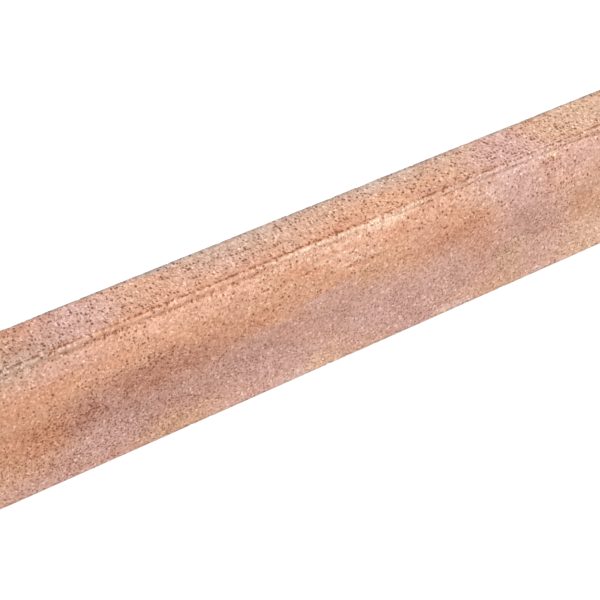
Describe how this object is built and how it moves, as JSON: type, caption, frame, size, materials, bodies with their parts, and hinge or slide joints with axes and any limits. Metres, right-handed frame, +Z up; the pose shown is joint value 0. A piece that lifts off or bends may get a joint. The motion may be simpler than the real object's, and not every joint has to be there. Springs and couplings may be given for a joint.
{
  "type": "concrete kerb stone",
  "caption": "Straight pressed concrete kerb stone with a drawn flat top, a rounded pressed arris over a narrow land, and a battered front face in blended sand and mauve colours.",
  "frame": {"origin": "middle of the bed, the face that the stone stands on", "axes": "+X along the stone, +Y from the battered front face to the back, +Z up from the bed to the top"},
  "size_m": [1, 0.08, 0.2],
  "materials": {
    "blended_concrete": "matt pressed concrete, orange sand colour clouded with mauve and buff, open and pitted on the drawn faces and close-grained on the pressed front"
  },
  "bodies": {
    "root": {"kerb_stone": "blended_concrete"}
  },
  "joints": []
}
